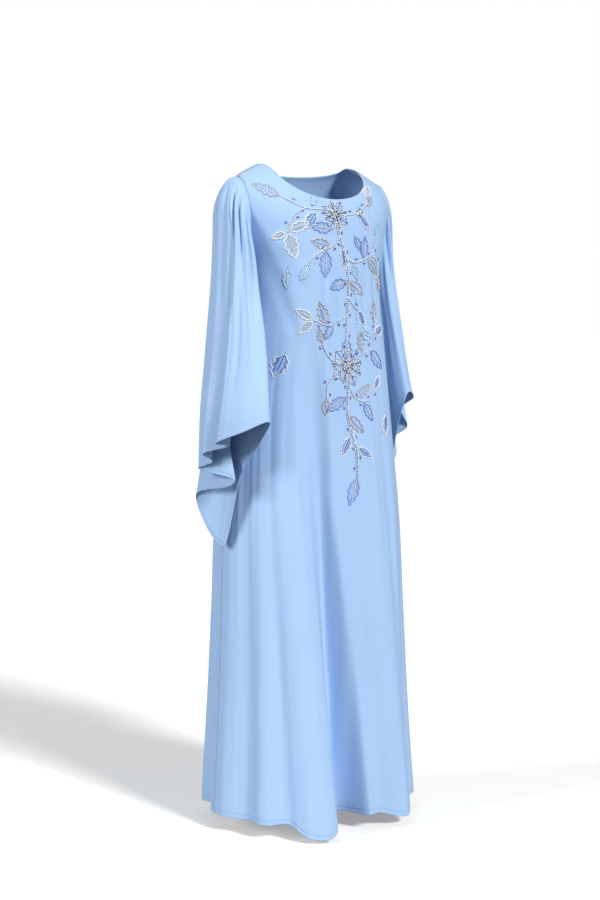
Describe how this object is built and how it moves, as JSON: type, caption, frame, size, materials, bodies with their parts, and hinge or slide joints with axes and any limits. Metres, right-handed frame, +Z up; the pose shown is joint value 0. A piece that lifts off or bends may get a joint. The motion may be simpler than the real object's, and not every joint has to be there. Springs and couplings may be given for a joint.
{
  "type": "jalabiya",
  "caption": "Floor-length loose robe with a round neck, side seams and wide cascading sleeves; covers the wearer from shoulders to feet.",
  "frame": {"origin": "midway between the neck ends of the two shoulder seams, where the wearer's shoulders hold the garment", "axes": "+Z up along the garment's length, -Y towards its front, -X towards the wearer's right"},
  "size_m": [0.6135, 0.4415, 1.4906],
  "materials": {
    "front_crepe": "matte crepe weave",
    "back_crepe": "matte crepe weave",
    "sleeve_right_crepe": "matte crepe weave",
    "sleeve_left_crepe": "matte crepe weave"
  },
  "bodies": {
    "root": {"front": "front_crepe", "back": "back_crepe", "sleeve_right": "sleeve_right_crepe", "sleeve_left": "sleeve_left_crepe"}
  },
  "joints": []
}
